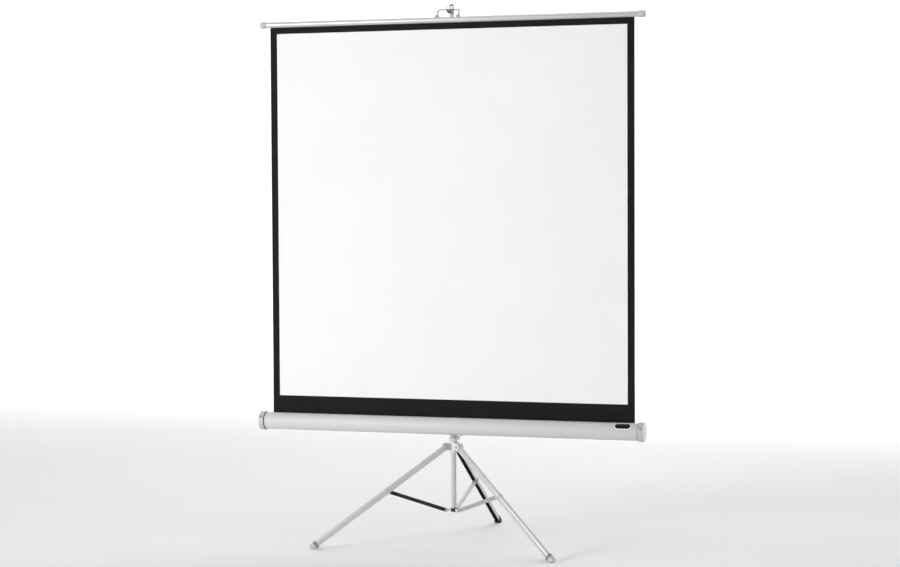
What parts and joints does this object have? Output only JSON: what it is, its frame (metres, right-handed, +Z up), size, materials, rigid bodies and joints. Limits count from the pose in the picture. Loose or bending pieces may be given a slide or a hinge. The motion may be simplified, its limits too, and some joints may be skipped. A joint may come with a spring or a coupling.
{
  "type": "tripod projection screen",
  "caption": "Roll-up projection screen in a tubular case on a folding tripod: the screen pulls up from the case and hangs by a bail from a telescopic column's hook.",
  "frame": {"origin": "centre of the bounding box's bottom, on the floor between the feet", "axes": "+Z up along the column, +X to the right along the case as seen from the front, +Y from the front of the screen to its back"},
  "size_m": [1.672, 0.9392, 2.252],
  "materials": {
    "silver_paint": "satin silver paint",
    "case_paint": "satin pale silver paint on rolled sheet",
    "pale_plastic": "fine-textured pale grey moulding",
    "grey_plastic": "mid grey moulding",
    "black_plastic": "black moulding",
    "bright_steel": "plain drawn steel",
    "dark_steel": "blackened steel",
    "brace_black": "black paint",
    "brace_grey": "grey paint",
    "plate_black": "plain black plate",
    "screen_white": "matt white screen cloth with black borders on its edges"
  },
  "bodies": {
    "stand": {"column_tube": "silver_paint", "column_foot": "pale_plastic", "leg_collar": "pale_plastic", "leg_collar_screw": "dark_steel", "brace_hub": "black_plastic", "column_head": "black_plastic", "leg_1_pivot_rivet": "silver_paint", "leg_2_pivot_rivet": "silver_paint", "leg_3_pivot_rivet": "silver_paint", "brace_1_hub_rivet": "bright_steel", "brace_2_hub_rivet": "bright_steel", "brace_3_hub_rivet": "bright_steel"},
    "carriage": {"carriage_sleeve": "silver_paint", "carriage_lower_bush": "pale_plastic", "carriage_upper_bush": "pale_plastic", "carriage_bracket": "bright_steel", "case_pivot_stud": "bright_steel", "lever_pin": "bright_steel"},
    "lever": {"release_lever": "pale_plastic"},
    "case": {"case_tube": "case_paint", "case_saddle": "bright_steel", "case_cap_left": "pale_plastic", "case_cap_right": "pale_plastic", "case_cap_screw_left": "dark_steel", "case_cap_screw_right": "dark_steel", "case_blank_plate": "plate_black", "roller_axle_left": "bright_steel", "spring_shaft_right": "bright_steel", "roller_spring": "bright_steel", "screen_fabric": "screen_white"},
    "roller": {"roller_tube": "bright_steel", "roller_plug_left": "black_plastic", "roller_plug_right": "black_plastic"},
    "top_bar": {"top_bar_tube": "silver_paint", "top_bar_cap_left": "pale_plastic", "top_bar_cap_right": "pale_plastic", "bail_wire": "bright_steel", "bail_clip_left": "grey_plastic", "bail_clip_right": "grey_plastic"},
    "extension": {"extension_tube": "bright_steel", "extension_guide": "pale_plastic", "extension_plug": "pale_plastic", "hook_bracket": "bright_steel", "hook_screw": "bright_steel"},
    "knob": {"extension_knob": "black_plastic"},
    "leg_1": {"leg_1_channel": "silver_paint", "leg_1_foot": "grey_plastic", "leg_1_clip": "silver_paint"},
    "brace_1": {"brace_1_bar": "brace_black", "brace_1_roller": "black_plastic"},
    "leg_2": {"leg_2_channel": "silver_paint", "leg_2_foot": "grey_plastic", "leg_2_clip": "silver_paint"},
    "brace_2": {"brace_2_bar": "brace_grey", "brace_2_roller": "black_plastic"},
    "leg_3": {"leg_3_channel": "silver_paint", "leg_3_foot": "black_plastic", "leg_3_clip": "silver_paint"},
    "brace_3": {"brace_3_bar": "silver_paint", "brace_3_roller": "black_plastic"}
  },
  "joints": [
    {"name": "leg_1_fold", "type": "hinge", "parent": "stand", "child": "leg_1", "pos_m": [-0.02807, -0.15894, 0.41], "axis": [0.4802, -0.8771, 0], "range_deg": [0, 54.6]},
    {"name": "brace_1_fold", "type": "hinge", "parent": "stand", "child": "brace_1", "pos_m": [-0.02807, -0.15894, 0.143], "axis": [0.4802, -0.8771, 0], "range_deg": [0, 109.2]},
    {"name": "leg_2_fold", "type": "hinge", "parent": "stand", "child": "leg_2", "pos_m": [0.02734, -0.1602, 0.41], "axis": [0.5195, 0.8545, 0], "range_deg": [0, 54.6]},
    {"name": "brace_2_fold", "type": "hinge", "parent": "stand", "child": "brace_2", "pos_m": [0.02734, -0.1602, 0.143], "axis": [0.5195, 0.8545, 0], "range_deg": [0, 109.2]},
    {"name": "leg_3_fold", "type": "hinge", "parent": "stand", "child": "leg_3", "pos_m": [0.00073, -0.11159, 0.41], "axis": [-0.9997, 0.0227, 0], "range_deg": [0, 54.6]},
    {"name": "brace_3_fold", "type": "hinge", "parent": "stand", "child": "brace_3", "pos_m": [0.00073, -0.11159, 0.143], "axis": [-0.9997, 0.0227, 0], "range_deg": [0, 109.2]},
    {"name": "case_turn", "type": "hinge", "parent": "carriage", "child": "case", "pos_m": [0, -0.22358, 0.504], "axis": [0, -1, 0], "range_deg": [0, 90]},
    {"name": "carriage_rise", "type": "slide", "parent": "stand", "child": "carriage", "axis": [0, 0, 1], "range_m": [0, 0.78]},
    {"name": "top_bar_lower", "type": "slide", "parent": "case", "child": "top_bar", "axis": [0, 0, -1], "range_m": [0, 1.628], "deforming": ["screen_fabric"]},
    {"name": "roller_wind", "type": "hinge", "parent": "case", "child": "roller", "pos_m": [0, -0.22358, 0.504], "axis": [1, 0, 0], "range_deg": [0, 4010]},
    {"name": "extension_lower", "type": "slide", "parent": "stand", "child": "extension", "axis": [0, 0, -1], "range_m": [0, 0.774]},
    {"name": "knob_turn", "type": "hinge", "parent": "stand", "child": "knob", "pos_m": [0, -0.11358, 1.41], "axis": [0, 1, 0], "range_deg": [0, 180]},
    {"name": "lever_lift", "type": "hinge", "parent": "carriage", "child": "lever", "pos_m": [0.019, -0.14358, 0.451], "axis": [0, -1, 0], "range_deg": [0, 18], "stiffness_Nm_per_rad": 0.6}
  ],
  "couplings": [
    {"joint": "brace_1_fold", "follows": "leg_1_fold", "ratio": 2},
    {"joint": "brace_2_fold", "follows": "leg_2_fold", "ratio": 2},
    {"joint": "brace_3_fold", "follows": "leg_3_fold", "ratio": 2},
    {"joint": "carriage_rise", "follows": "case_turn", "m_per_rad": 0.49656},
    {"joint": "roller_wind", "follows": "top_bar_lower", "rad_per_m": 42.827}
  ]
}
